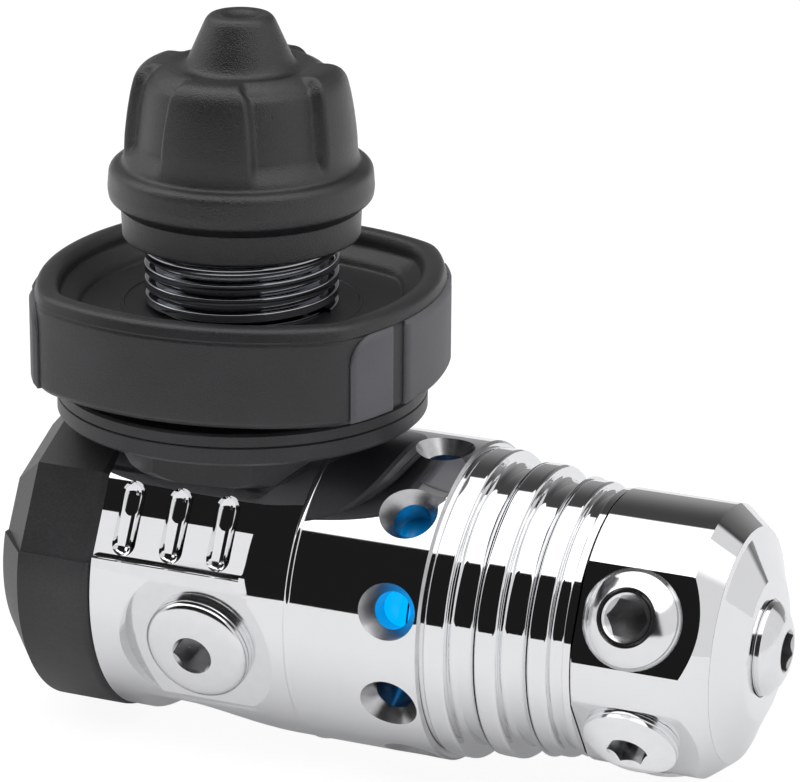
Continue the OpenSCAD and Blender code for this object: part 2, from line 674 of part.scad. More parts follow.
module plug(port_r, thread_len, rim_r, head_h, head_points) difference() {
    turned(concat([[0, -thread_len], [port_r - fit_gap - edge, -thread_len], [port_r - fit_gap, -thread_len + edge],
        [port_r - fit_gap, -plug_seal_depth - 0.05], [port_r - plug_seal_w, -plug_seal_depth - 0.05],
        [port_r - plug_seal_w, 0]], head_points));
    translate([0, 0, -plug_socket_d]) hexagon(hex_af, head_h + plug_socket_d + over);
    translate([0, 0, head_h - (rim_r - socket_cone_r)])
        cylinder(h = rim_r - socket_cone_r + over, r1 = socket_cone_r, r2 = rim_r + over);
}

// Head with a washer, a fine groove and a dome
function domed_head(r, washer_h, height) =
    let (side = washer_h + 0.55)
    concat([[r - 0.05, 0], [r, 0.05], [r, washer_h - 0.05], [r - 0.05, washer_h], [r - 0.2, washer_h + 0.02],
        [r - 0.2, washer_h + 0.1], [r - 0.05, washer_h + 0.12]],
        [for (q = [1, 0.94, 0.87, 0.78, 0.67, 0.54]) [q * (r - 0.05), side + (height - side) * (1 - pow(q, 3.4))]],
        [[0, height]]);

// Head with a flange, a dome and a raised ring behind a groove
function ringed_head(r, height) = [[r - 0.05, 0], [r, 0.05], [r, 0.28], [r - 0.28, 0.34], [r - 0.32, 0.9],
    [r - 0.8, height - 0.98], [r - 1.4, height - 0.55], [r - 1.94, height - 0.23], [3.45, height], [3.4, height - 0.7],
    [3.05, height - 0.7], [3, height], [0, height]];

module plug_seal(port_r) translate([0, 0, -plug_seal_depth / 2 - 0.02])
    seal(port_r, plug_seal_depth / 2 - 0.03);

module low_plug(i) color([0.8, 0.81, 0.83]) placed() outward(port_x, port_phase - i * port_step, port_face)
    plug(low_port_r, low_plug_len, i == 0 ? ring_socket_rim_r : socket_rim_r, i == 0 ? ring_head_h : low_head_h,
        i == 0 ? ringed_head(ring_plug_r, ring_head_h) : domed_head(low_plug_r, 0.45, low_head_h));

module low_pressure_plug_1() low_plug(0);
module low_pressure_plug_2() low_plug(1);
module low_pressure_plug_3() low_plug(2);
module low_pressure_plug_4() low_plug(3);

module low_pressure_o_rings() color([0.12, 0.12, 0.13]) placed() for (i = [0:port_count - 1])
    outward(port_x, port_phase - i * port_step, port_face) plug_seal(low_port_r);

module end_port_plug() color([0.8, 0.81, 0.83]) placed()
    translate([end_seat_x, 0, 0]) rotate([0, 90, 0])
        plug(low_port_r, end_plug_len, socket_rim_r, end_head_h, domed_head(low_plug_r, 0.75, end_head_h));

module end_port_o_ring() color([0.12, 0.12, 0.13]) placed()
    translate([end_seat_x, 0, 0]) rotate([0, 90, 0]) plug_seal(low_port_r);

module high_plug(angle) color([0.8, 0.81, 0.83]) placed() outward(high_port_x, angle, spot_face)
    plug(high_port_r, high_plug_len, socket_rim_r, high_head_h, domed_head(high_plug_r, 0.7, high_head_h));

module high_pressure_plug_front() high_plug(-high_port_drop);
module high_pressure_plug_rear() high_plug(180 + high_port_drop);

module high_pressure_o_rings() color([0.12, 0.12, 0.13]) placed()
    for (angle = [-high_port_drop, 180 + high_port_drop])
        outward(high_port_x, angle, spot_face) plug_seal(high_port_r);

// ---- Connector ----

tube_groove_z = boss_z - 2.6;
tube_groove_w = 1.5;
tube_groove_d = 1.3;
filter_z = tube_top_z - 5.6;
filter_r = 4.3;
face_groove_r = 7;
face_seal_r = 0.8;
face_seal_proud = 0.2;
face_groove_d = 2 * face_seal_r - face_seal_proud + fit_gap;

module inlet_stem() color([0.78, 0.79, 0.81]) placed() difference() {
    turned([[tube_bore_r, tube_socket_z + 0.5], [tube_r - 0.4, tube_socket_z + 0.5], [tube_r, tube_socket_z + 0.9],
        [tube_r, tube_groove_z], [tube_r - tube_groove_d, tube_groove_z],
        [tube_r - tube_groove_d, tube_groove_z + tube_groove_w], [tube_r, tube_groove_z + tube_groove_w],
        [tube_r, head_seat_z + swivel_gap], [tube_head_r, head_seat_z + swivel_gap],
        [tube_head_r, tube_top_z - 0.3], [tube_head_r - 0.3, tube_top_z], [filter_r + fit_gap, tube_top_z],
        [filter_r + fit_gap, filter_z], [tube_bore_r, filter_z]]);
    translate([0, 0, tube_top_z - face_groove_d]) difference() {
        cylinder(h = 3, r = face_groove_r + face_seal_r + 0.05);
        translate([0, 0, -over]) cylinder(h = 5, r = face_groove_r - face_seal_r - 0.05);
    }
}

module inlet_stem_o_ring() color([0.12, 0.12, 0.13]) placed()
    translate([0, 0, tube_groove_z + tube_groove_w / 2])
        seal(tube_r - tube_groove_d / 2 + 0.02, tube_groove_d / 2 - 0.05);

module din_face_o_ring() color([0.12, 0.12, 0.13]) placed()
    translate([0, 0, tube_top_z + face_seal_proud - face_seal_r]) seal(face_groove_r, face_seal_r);

module inlet_filter() color([0.7, 0.62, 0.42]) placed()
    turned([[0, filter_z], [filter_r, filter_z], [filter_r, filter_z + 1.5], [3.2, filter_z + 1.5],
        [1.2, filter_z + 4], [0, filter_z + 4]]);

module filter_ring() color([0.6, 0.6, 0.62]) placed()
    turned([[3.4, filter_z + 1.5], [filter_r, filter_z + 1.5], [filter_r, filter_z + 2.2], [3.4, filter_z + 2.2]]);

// Outline of one thread round the crest at height z
function thread(z) = let (foot = (pitch - crest_w) * 0.38)
    [[thread_root_r, z - crest_w / 2 - foot], [thread_r, z - crest_w / 2], [thread_r, z + crest_w / 2],
    [thread_root_r, z + crest_w / 2 + foot]];

module din_screw() color([0.42, 0.43, 0.45]) placed() turned(concat(
    [[tube_r + run_gap, screw_z], [hub_r, screw_z], [hub_r, hub_top_z], [neck_r, hub_top_z],
        [neck_r, first_crest_z - pitch / 2]],
    [for (i = [0:thread_count - 1]) each thread(first_crest_z + i * pitch)],
    [[thread_root_r - 0.2, screw_top_z], [tube_head_r + 0.15, screw_top_z], [tube_head_r + 0.15, head_seat_z],
        [tube_r + run_gap, head_seat_z]]));

module stem_collar() color([0.17, 0.17, 0.18]) placed() difference() {
    intersection() {
        translate([0, 0, collar_base]) rotate([0, 0, collar_turn]) cylinder(h = collar_t, r = collar_r, $fn = 8);
        turned([[0, collar_base], [collar_r - 0.9, collar_base], [collar_r, collar_base + 0.9],
            [collar_r, collar_z], [0, collar_z]]);
    }
    rod_x(-30, 30, body_r + fit_gap);
    cylinder(h = boss_z, r = boss_r + fit_gap);
    cylinder(h = 30, r = tube_r + 0.2);
}

module wheel_flange() color([0.17, 0.17, 0.18]) placed() {
    seam = collar_z + flange_t * 0.58;
    turned([[tube_r + 0.2, collar_z], [flange_r - 0.4, collar_z], [flange_r, collar_z + 0.4], [flange_r, seam - 0.15],
        [flange_r - 0.2, seam], [flange_r, seam + 0.15], [flange_r, flange_z - 0.3], [flange_r - 0.3, flange_z],
        [tube_r + 0.2, flange_z]]);
}

// Disc with a rounded upper edge and a chamfered lower one
module soft_disc(r, z0, z1, round, chamfer) translate([0, 0, z0])
    turned(concat([[0, 0], [r - chamfer, 0], [r, chamfer]],
        arc([r - round, z1 - z0 - round], round, 0, 90, 4), [[0, z1 - z0]]));

// Two discs of radius r, width apart over their far sides, where they overlap, drawn in by inset
module lens(turn, width, r, inset, z0, z1, round, chamfer) intersection() {
    rotate([0, 0, turn]) translate([width / 2 - r, 0, 0]) soft_disc(r - inset, z0, z1, round, chamfer);
    rotate([0, 0, turn + 180]) translate([width / 2 - r, 0, 0]) soft_disc(r - inset, z0, z1, round, chamfer);
}

// Handwheel's plan: four wide curves
module wheel_blank(inset, z0, z1, round, chamfer) intersection() {
    lens(face_turn, wheel_across, face_curve_r, inset, z0, z1, round, chamfer);
    lens(face_turn + 90, wheel_length, end_curve_r, inset, z0, z1, round, chamfer);
}

// Sector between two angles, from the centre out to r
module sector(r, from, to, z0, z1) translate([0, 0, z0]) rotate([0, 0, from]) rotate_extrude(angle = to - from)
    square([r, z1 - z0]);

pad_z = wheel_z + 0.4;
pad_reach = 60;       // past the handwheel's outline
middle_pad_angle = 20.3;
side_pad_from = 25.8;
side_pad_to = 41.5;
side_pad_round = 14.7; // curve of a side pad's top edge

// Three pads on each end of the handwheel, grown by a clearance
module pads(grow) {
    more = grow * 180 / (PI * wheel_length / 2);
    bottom = pad_z - grow;
    top = pad_z + pad_h + grow;
    for (end = [90, 270]) rotate([0, 0, face_turn + end]) intersection() {
        translate([wheel_length / 2 - end_curve_r, 0, bottom]) difference() {
            cylinder(h = top - bottom, r = end_curve_r + pad_proud);
            translate([0, 0, -over]) cylinder(h = top - bottom + 2 * over,
                r = end_curve_r + pad_proud - pad_t - grow);
        }
        union() {
            sector(pad_reach, -middle_pad_angle - more, middle_pad_angle + more, bottom - over, top + over);
            for (side = [0, 1]) mirror([0, side, 0]) intersection() {
                sector(pad_reach, side_pad_from - more, side_pad_to + more, bottom - over, top + over);
                rotate([0, 0, side_pad_from]) translate([0, 0, top + 0.15 - side_pad_round]) rotate([0, 90, 0])
                    cylinder(h = pad_reach, r = side_pad_round);
            }
        }
    }
}

module grip_pads() color([0.38, 0.38, 0.4]) placed() pads(0);

module handwheel() color([0.15, 0.15, 0.16]) placed() difference() {
    wheel_blank(0, wheel_z, rim_z, rim_round, 0.6);
    wheel_blank(rim_w, floor_z + 1.4, rim_z + 5, 0.5, 0.5);
    wheel_blank(rim_w + 1.3, floor_z, rim_z, 0.5, 0.5);
    pads(fit_gap);
    translate([0, 0, wheel_z - over]) cylinder(h = hub_top_z - wheel_z + over + fit_gap, r = hub_r + fit_gap);
    translate([0, 0, wheel_z]) cylinder(h = 20, r = neck_r + fit_gap);
}

// ---- Dust cap ----

module dust_cap() color([0.13, 0.13, 0.14]) placed() difference() {
    side_steps = 6;
    shoulder_z = cap_top_z - shoulder_round;
    shoulder_start = 15;
    side_top = shoulder_z + shoulder_round * sin(shoulder_start);
    turned(concat([[thread_r + cap_gap, cap_z], [skirt_r - 0.3, cap_z], [skirt_r, cap_z + 0.3], [skirt_r, brim_z - 0.1],
        [skirt_r + 0.1, brim_z], [brim_r - 0.3, brim_z + 1.1], [brim_r, brim_z + 1.7],
        [brim_r - 0.15, grip_z - 0.6], [brim_r - 0.6, grip_z], [grip_r + 0.3, grip_z + 0.5], [grip_r, grip_z + 1.2]],
        [for (i = [0:side_steps]) let (t = i / side_steps)
            [grip_r - (grip_r - shoulder_r) * pow(t, 1.6), grip_z + 1.6 + (side_top - grip_z - 1.6) * t]],
        arc([shoulder_r - shoulder_round * cos(shoulder_start), shoulder_z], shoulder_round, shoulder_start, 86),
        [[nub_r + 0.6, cap_top_z + 0.02], [nub_r, cap_top_z + 0.5], [nub_top_r, cap_top_z + nub_h - 0.3],
        [nub_top_r - 0.7, cap_top_z + nub_h], [nub_top_r - 1.2, cap_top_z + nub_h - 0.3], [0, cap_top_z + nub_h - 0.7],
        [0, roof_z], [gasket_r + 0.3, roof_z], [gasket_r + 0.3, screw_top_z + 1.5], [thread_r + cap_gap, screw_top_z + 0.5]]));
    for (i = [0:cap_flats - 1]) rotate([0, 0, cap_flat_turn + i * 360 / cap_flats])
        translate([grip_r - cap_flat_depth, 0, grip_z + 3.9]) rotate([0, -9.5, 0])
            rotate([90, 0, 90]) linear_extrude(10)
                polygon([[-4.8, 0], [4.8, 0], [3.8, 7], [3.8, 30], [-3.8, 30], [-3.8, 7]]);
}

module cap_gasket() color([0.2, 0.2, 0.21]) placed()
    turned([[3.5, gasket_z], [gasket_r, gasket_z], [gasket_r, gasket_z + gasket_t], [3.5, gasket_z + gasket_t]]);

inlet_body();
end_cover();
ambient_barrel();
barrel_o_ring();
turret();
turret_bolt();
turret_washer();
turret_o_rings();
piston();
piston_head_o_ring();
piston_stem_o_ring();
stem_bushings();
bushing_retainer();
main_spring();
spring_pad();
seat();
seat_carrier();
seat_carrier_o_ring();
seat_spring_washer();
seat_plug();
high_pressure_plug_front();
high_pressure_plug_rear();
high_pressure_o_rings();
low_pressure_plug_1();
low_pressure_plug_2();
low_pressure_plug_3();
low_pressure_plug_4();
low_pressure_o_rings();
end_port_plug();
end_port_o_ring();
inlet_stem();
inlet_stem_o_ring();
inlet_filter();
filter_ring();
din_screw();
din_face_o_ring();
handwheel();
grip_pads();
wheel_flange();
stem_collar();
dust_cap();
cap_gasket();
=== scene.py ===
import json
import math

import bmesh
import bpy
from mathutils import Matrix, Vector


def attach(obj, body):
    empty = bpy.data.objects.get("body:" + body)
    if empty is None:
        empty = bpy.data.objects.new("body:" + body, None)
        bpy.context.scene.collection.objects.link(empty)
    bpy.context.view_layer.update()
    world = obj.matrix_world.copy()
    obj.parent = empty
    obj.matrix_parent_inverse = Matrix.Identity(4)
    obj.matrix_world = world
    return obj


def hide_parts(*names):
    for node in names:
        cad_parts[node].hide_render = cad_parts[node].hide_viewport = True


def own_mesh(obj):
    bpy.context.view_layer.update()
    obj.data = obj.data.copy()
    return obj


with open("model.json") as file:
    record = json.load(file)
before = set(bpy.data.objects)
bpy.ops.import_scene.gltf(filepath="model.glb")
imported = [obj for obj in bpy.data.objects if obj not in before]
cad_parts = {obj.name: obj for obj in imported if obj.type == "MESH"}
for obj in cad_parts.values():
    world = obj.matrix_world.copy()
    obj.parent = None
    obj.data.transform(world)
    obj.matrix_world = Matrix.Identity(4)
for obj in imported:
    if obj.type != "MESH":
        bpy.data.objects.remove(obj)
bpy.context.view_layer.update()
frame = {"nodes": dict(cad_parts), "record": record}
nodes = frame["nodes"]
mm = 0.001
barrelZ = -38.338                # height of the barrel's centre line in the frame, in mm
print("frame loaded:", len(nodes), "nodes")


class Wire:
    # a socket whose operators add Math nodes
    def __init__(self, tree, socket):
        self.tree, self.socket = tree, socket

    def math(self, operation, other=None, swapped=False):
        first, second = (other, self) if swapped else (self, other)
        values = {0: first} if second is None else {0: first, 1: second}
        return self.tree.add("Math", {"operation": operation}, values)

    def __add__(self, other): return self.math("ADD", other)
    def __radd__(self, other): return self.math("ADD", other, True)
    def __sub__(self, other): return self.math("SUBTRACT", other)
    def __rsub__(self, other): return self.math("SUBTRACT", other, True)
    def __mul__(self, other): return self.math("MULTIPLY", other)
    def __rmul__(self, other): return self.math("MULTIPLY", other, True)
    def __truediv__(self, other): return self.math("DIVIDE", other)
    def __rtruediv__(self, other): return self.math("DIVIDE", other, True)

    def between(self, low, high):
        # 0 below low and 1 above high, smooth between them
        return self.tree.add("MapRange", {"interpolation_type": "SMOOTHSTEP"},
                             {"Value": self, "From Min": low, "From Max": high})

    def blend(self, low, high):
        # low where this is 0 and high where it is 1
        return self.tree.add("Mix", {"data_type": "RGBA"}, {0: self, 6: low, 7: high}, 2)


class Tree:
    def __init__(self, nodeTree):
        self.nodes, self.links = nodeTree.nodes, nodeTree.links

    def connect(self, socket, value):
        if isinstance(value, Wire):
            self.links.new(value.socket, socket)
        elif socket.type == "RGBA" and len(value) == 3:
            socket.default_value = (*value, 1)
        else:
            socket.default_value = value

    def add(self, kind, settings, values, out=0):
        item = self.nodes.new("ShaderNode" + kind)
        for key, value in settings.items():
            setattr(item, key, value)
        for key, value in values.items():
            self.connect(item.inputs[key], value)
        return Wire(self, item.outputs[out]) if item.outputs else None

    def place(self):
        return self.add("TexCoord", {}, {}, "Object")

    def noise(self, scale, detail):
        return self.add("TexNoise", {}, {"Vector": self.place(), "Scale": scale, "Detail": detail})


def newMaterial(name):
    material = bpy.data.materials.new(name)
    material.use_nodes = True
    tree = Tree(material.node_tree)
    return material, tree, tree.nodes["Principled BSDF"]


def grey(level):
    return (level,) * 3


view = {
    "azimuth": 23.1218, "elevation": 19.1252, "roll": 0.3692,    # degrees, from the front
    "distance": 493.028,         # mm from the crossing of barrel and connector
    "picture": (800, 782),
    "crossing": (244.0, 561.3),  # where that crossing stands in the picture, in pixels
    "focal": 4097.87,            # in pixels
    "sensor": 36,
    "clip": (0.01, 20),
}


def addCamera():
    azimuth, elevation, roll = (math.radians(view[key]) for key in ("azimuth", "elevation", "roll"))
    back = Vector((math.sin(azimuth) * math.cos(elevation), -math.cos(azimuth) * math.cos(elevation),
                   math.sin(elevation)))
    level = Vector((math.cos(azimuth), math.sin(azimuth), 0))
    steep = back.cross(level)
    right = math.cos(roll) * level + math.sin(roll) * steep
    up = -math.sin(roll) * level + math.cos(roll) * steep
    width, height = view["picture"]
    aside = (view["crossing"][0] - width / 2) / view["focal"] * view["distance"]
    below = (view["crossing"][1] - height / 2) / view["focal"] * view["distance"]
    place = (view["distance"] * back - aside * right + below * up + Vector((0, 0, barrelZ))) * mm
    data = bpy.data.cameras.new("camera")
    data.sensor_width = view["sensor"]
    data.lens = view["focal"] * view["sensor"] / width
    data.clip_start, data.clip_end = view["clip"]
    camera = bpy.data.objects.new("camera", data)
    bpy.context.scene.collection.objects.link(camera)
    camera.matrix_world = Matrix.Translation(place) @ Matrix((right, up, back)).transposed().to_4x4()
    bpy.context.scene.camera = camera


addCamera()
print("camera placed")


studio = {
    "overhead": 1.65, "rightWall": 0.75, "leftWall": 0.72, "dark": 0.012,    # brightness
    "backLow": 0.34, "backHigh": 0.06, "backRise": (0.0, 0.70),              # the back wall fades upwards
    # sides of the overhead light: the slope from straight above and half its soft edge
    "front": (-0.76, 0.02), "back": (0.66, 0.03), "right": (1.1, 0.1), "left": (-2.6, 0.1),
    "lowest": 0.01,              # rise of a direction that counts as level
    # direction of each wall's middle, and the cosines between which it fades in
    "rightAim": (0.9914, 0.1305), "rightEdge": (0.64, 0.70),
    "leftAim": (-1.0, 0.0), "leftEdge": (0.86, 0.90),
    "backAim": (-0.55, 0.835), "backEdge": (0.30, 0.50),
    "wallTop": (0.74, 0.80),     # rise at which the side walls fade out
}

ground = {
    "z": -0.05775, "half": 4.0,
    "colour": (0.74, 0.742, 0.75), "glow": 0.15,
    "shown": 1.12, "seen": 0.8,  # brightness the camera sees, and its share against the lit floor
}


def addWorld():
    world = bpy.data.worlds.new("studio")
    world.use_nodes = True
    bpy.context.scene.world = world
    tree = Tree(world.node_tree)
    tree.nodes.clear()
    direction = tree.add("TexCoord", {}, {}, "Generated")
    x, y, z = (tree.add("SeparateXYZ", {}, {0: direction}, axis) for axis in "XYZ")
    rise = z.math("MAXIMUM", studio["lowest"])
    flat = (x * x + y * y).math("SQRT")
    belowTop = 1 - z.between(*studio["wallTop"])

    def past(slope, side):
        place, soft = studio[side]
        return slope.between(place - soft, place + soft)

    def wall(side):
        aim = studio[side + "Aim"]
        return ((x * aim[0] + y * aim[1]) / flat).between(*studio[side + "Edge"])

    overhead = (past(y / rise, "front") * (1 - past(y / rise, "back"))
                * (1 - past(x / rise, "right")) * past(x / rise, "left"))
    backTone = z.between(*studio["backRise"]).blend(grey(studio["backLow"]), grey(studio["backHigh"]))
    colour = wall("back").blend(grey(studio["dark"]), backTone)
    colour = (wall("left") * belowTop).blend(colour, grey(studio["leftWall"]))
    colour = (wall("right") * belowTop).blend(colour, grey(studio["rightWall"]))
    colour = overhead.blend(colour, grey(studio["overhead"]))
    seen = tree.add("LightPath", {}, {}, "Is Camera Ray")
    background = tree.add("Background", {}, {"Color": seen.blend(colour, grey(1)), "Strength": 1.0})
    tree.add("OutputWorld", {}, {0: background})


def addFloor():
    half, z = ground["half"], ground["z"]
    mesh = bpy.data.meshes.new("floor")
    corners = [(-half, -half, z), (half, -half, z), (half, half, z), (-half, half, z)]
    mesh.from_pydata(corners, [], [(0, 1, 2, 3)])
    floor = bpy.data.objects.new("floor", mesh)
    bpy.context.scene.collection.objects.link(floor)
    material, tree, shader = newMaterial("floorWhite")
    tree.nodes.remove(shader)
    diffuse = tree.add("BsdfDiffuse", {}, {"Color": ground["colour"]})
    glow = tree.add("Emission", {}, {"Color": grey(1), "Strength": ground["glow"]})
    plain = tree.add("AddShader", {}, {0: diffuse, 1: glow})
    white = tree.add("Emission", {}, {"Color": grey(1), "Strength": ground["shown"]})
    seen = tree.add("LightPath", {}, {}, "Is Camera Ray")
    mixed = tree.add("MixShader", {}, {0: seen * ground["seen"], 1: plain, 2: white})
    tree.connect(tree.nodes["Material Output"].inputs[0], mixed)
    mesh.materials.append(material)


addWorld()
addFloor()
bpy.context.scene.view_settings.view_transform = "Standard"
print("studio set")


surface = {
    "wearDetail": 4, "wearEnds": (0.3, 0.7), "wearRough": 0.5,               # metals
    "grainDetail": 3, "grainRough": 0.16, "grainHeight": 0.0001,             # mouldings
    "patchScale": 90, "patchDetail": 2, "patchShare": 0.6, "toneEnds": (0.35, 0.65),
}

springPaintAndPaintedGlow = {
    # base is the spring's own blue paint; the rest sets its painted glow, an emission that stands in for
    # light
    "base": (0.0, 0.1, 0.28), "paintedGlowBlue": (0.0, 0.36, 0.9), "glow": 1.25,
    # mm above the centre line where the painted glow on the spring fades in and fades out
    "paintedGlowIn": (-1.5, 1.0), "paintedGlowOut": (6.0, 12.6),
}


def metal(name, colour, roughness, wear, scale=300):
    material, tree, shader = newMaterial(name)
    spots = tree.noise(scale, surface["wearDetail"])
    worn = tuple(c * (1 - wear) for c in colour)
    tree.connect(shader.inputs["Base Color"], spots.between(*surface["wearEnds"]).blend(worn, colour))
    tree.connect(shader.inputs["Metallic"], 1.0)
    tree.connect(shader.inputs["Roughness"], roughness + spots * roughness * surface["wearRough"])
    return material


def moulded(name, colour, roughness, grain, strength, spread=0.25, shine=0.5):
    material, tree, shader = newMaterial(name)
    fine = tree.noise(grain, surface["grainDetail"])
    broad = tree.noise(surface["patchScale"], surface["patchDetail"])
    tone = (broad * surface["patchShare"] + fine * (1 - surface["patchShare"])).between(*surface["toneEnds"])
    darker, lighter = (tuple(c * share for c in colour) for share in (1 - spread, 1 + spread))
    tree.connect(shader.inputs["Base Color"], tone.blend(darker, lighter))
    tree.connect(shader.inputs["Roughness"],
                 roughness - surface["grainRough"] / 2 + surface["grainRough"] * fine)
    tree.connect(shader.inputs["Normal"], tree.add("Bump", {}, {
        "Strength": strength, "Distance": surface["grainHeight"], "Height": fine}))
    tree.connect(shader.inputs["Specular IOR Level"], shine)
    return material


def springPaintWithPaintedGlow():
    # blue paint, with a painted glow (emission) where the spring shows through the front holes, standing in
    # for the light that reaches it there and fading away from their height
    material = moulded("springBlueWithPaintedGlow", springPaintAndPaintedGlow["base"], 0.3, 900, 0.05, 0.05)
    tree = Tree(material.node_tree)
    shader = tree.nodes["Principled BSDF"]
    height = tree.add("SeparateXYZ", {}, {0: tree.place()}, "Z")
    rising, falling = (height.between(*((z + barrelZ) * mm for z in springPaintAndPaintedGlow[key]))
                       for key in ("paintedGlowIn", "paintedGlowOut"))
    # painted light: the spring glows blue between these heights, though it is no lamp
    tree.connect(shader.inputs["Emission Color"], (rising * (1 - falling)).blend(grey(0), springPaintAndPaintedGlow["paintedGlowBlue"]))
    tree.connect(shader.inputs["Emission Strength"], springPaintAndPaintedGlow["glow"])
    return material


finishes = {
    # name, colour, roughness, wear, scale of the wear
    "machined": metal("machined", (0.62, 0.62, 0.63), 0.2, 0.15, 500),
    "burnished": metal("burnished", (0.16, 0.16, 0.165), 0.22, 0.2, 700),
    "satin_chrome": metal("satinChrome", (0.86, 0.865, 0.875), 0.11, 0.03, 700),
    "chromed_brass": metal("chromedBrass", (0.87, 0.875, 0.885), 0.025, 0.01),
    "screw_dark_chrome": metal("screwDarkChrome", (0.42, 0.43, 0.45), 0.05, 0.05),
    "plain_brass": metal("plainBrass", (0.75, 0.6, 0.32), 0.22, 0.15),
    "piston_steel": metal("pistonSteel", (0.66, 0.67, 0.69), 0.2, 0.1),
    "sintered_bronze": metal("sinteredBronze", (0.6, 0.45, 0.25), 0.5, 0.4, 2500),
    "spring_blue": springPaintWithPaintedGlow(),
    # name, colour, roughness, scale of the grain, strength of the grain, spread of tone, shine
    "bearing_plastic": moulded("bearingPlastic", (0.8, 0.79, 0.73), 0.4, 800, 0.05, 0.04),
    "seal_rubber": moulded("sealRubber", (0.02, 0.02, 0.022), 0.45, 900, 0.1),
    "cover_black": moulded("coverBlack", (0.038, 0.038, 0.040), 0.42, 3500, 0.25),
    "flange_black": moulded("flangeBlack", (0.025, 0.025, 0.0275), 0.42, 3500, 0.3),
    "wheel_black": moulded("wheelBlack", (0.0185, 0.0185, 0.0205), 0.36, 6000, 0.7, 0.25, 0.6),
    "pad_grey": moulded("padGrey", (0.115, 0.115, 0.126), 0.6, 3000, 0.2, 0.06),
    "cap_black": moulded("capBlack", (0.010, 0.010, 0.0115), 0.3, 6500, 0.9, 0.25, 0.75),
}


def dressNodes():
    for part in frame["record"]["subparts"]:
        item = nodes[part["node"]]
        item.data.materials.clear()
        item.data.materials.append(finishes[part["material_slot"]])


dressNodes()
print("finishes on the nodes")


def softened(corners, steps=5, shortOfMiddle=0.48):
    # polyline with each corner (a, b, reach) rounded off over its reach
    points = []
    for i, (a, b, reach) in enumerate(corners):
        here = Vector((a, b))
        if reach == 0 or i in (0, len(corners) - 1):
            points.append(here)
            continue
        ends = []
        for other in (corners[i - 1], corners[i + 1]):
            side = Vector(other[:2]) - here
            ends.append(here + side.normalized() * min(reach, side.length * shortOfMiddle))
        for k in range(steps + 1):
            t = k / steps
            points.append((1 - t) ** 2 * ends[0] + 2 * t * (1 - t) * here + t * t * ends[1])
    return points


def dense(points, step):
    # polyline with no stretch longer than step
    result = [points[0]]
    for start, end in zip(points, points[1:]):
        count = max(1, math.ceil((end - start).length / step))
        result += [start.lerp(end, k / count) for k in range(1, count + 1)]
    return result


def ringAngles(count):
    return [2 * math.pi * j / count for j in range(count)]


def circle(r, z, angles):
    return [(r * math.cos(a), r * math.sin(a), z) for a in angles]


def gridMesh(name, rows, shift=0):
    # mesh from closed rows of points in mm; with a shift, a row's end meets the start of a row further on
    bm = bmesh.new()
    made = [[bm.verts.new((x * mm, y * mm, (z + barrelZ) * mm)) for x, y, z in row] for row in rows]
    across = len(rows[0])
    for i in range(len(rows) - 1):
        for j in range(across):
            k = (j + 1) % across
            step = shift if k == 0 else 0
            if i + 1 + step < len(rows):
                bm.faces.new((made[i][j], made[i + step][k], made[i + 1 + step][k], made[i + 1][j]))
    mesh = bpy.data.meshes.new(name)
    bm.to_mesh(mesh)
    bm.free()
    return mesh


def addPiece(name, mesh, finish, body, replaced=None, sharp=40):
    for polygon in mesh.polygons:
        polygon.use_smooth = True
    mesh.set_sharp_from_angle(angle=math.radians(sharp))
    mesh.materials.append(finishes[finish])
    piece = bpy.data.objects.new(name, mesh)
    bpy.context.scene.collection.objects.link(piece)
    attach(piece, body)
    if replaced:
        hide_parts(replaced)
    return piece


def smooth(t):
    t = min(1, max(0, t))
    return t * t * (3 - 2 * t)


cap = {
    # radius, height and how far the corner is rounded, from the skirt's inside up to the tip
    "corners": [(11.76, 52.5, 0), (11.76, 41.4, 0.1), (13.95, 41.4, 0.3), (14.1, 44.95, 0.15),
                (15.45, 46.1, 0.35), (15.6, 47.2, 0.3), (15.42, 49.4, 0.5), (14.9, 50.0, 0.4),
                (13.85, 50.25, 0.4), (13.62, 51.3, 0.4), (13.5, 53.5, 0.5), (13.2, 56, 1), (12.75, 58.6, 1),
                (12.2, 60.6, 1.4), (10.9, 61.75, 1.4), (8.4, 61.75, 0.5), (7.4, 61.5, 0.4), (6.6, 61.7, 0.4),
                (6.1, 62.4, 0.5), (4.0, 67.1, 0.5), (3.4, 67.65, 0.4), (2.4, 67.6, 0.3), (1.5, 67.1, 0.5),
                (0.02, 67.0, 0)],
    "columns": 288, "step": 0.4,
    "pocketCount": 4, "pocketTurn": -39, "pocketHalf": 5.3, "pocketWall": 1.3, "pocketDepth": 1.3,
    "pocketFoot": 50.5, "pocketFootRise": 2.6,
    "pocketIn": 8.4, "pocketInRise": 3.0,    # the pockets run out into the crown between these radii
    "leastRadius": 11.0,                     # pockets don't narrow further in
    "insideRows": 8,                         # rows on the skirt's inside that reach the pockets' height
}


def addCap():
    line = dense(softened(cap["corners"]), cap["step"])
    part = 2 * math.pi / cap["pocketCount"]
    rows = []
    for i, point in enumerate(line):
        before, after = line[max(0, i - 1)], line[min(len(line) - 1, i + 1)]
        run = (after - before).normalized()
        facing = Vector((run.y, -run.x))
        deep = cap["pocketDepth"] if i > cap["insideRows"] else 0
        deep *= smooth((point.y - cap["pocketFoot"]) / cap["pocketFootRise"])
        deep *= smooth((point.x - cap["pocketIn"]) / cap["pocketInRise"])
        row = []
        for angle in ringAngles(cap["columns"]):
            off = (angle - math.radians(cap["pocketTurn"]) + part / 2) % part - part / 2
            aside = abs(off) * max(point.x, cap["leastRadius"])
            sink = deep * smooth((cap["pocketHalf"] - aside) / cap["pocketWall"])
            r, z = point.x - sink * facing.x, point.y - sink * facing.y
            row.append((r * math.cos(angle), r * math.sin(angle), z))
        rows.append(row)
    addPiece("dustCap", gridMesh("dustCap", rows), "cap_black", "cap", "dust_cap", 60)


addCap()
print("dust cap made")


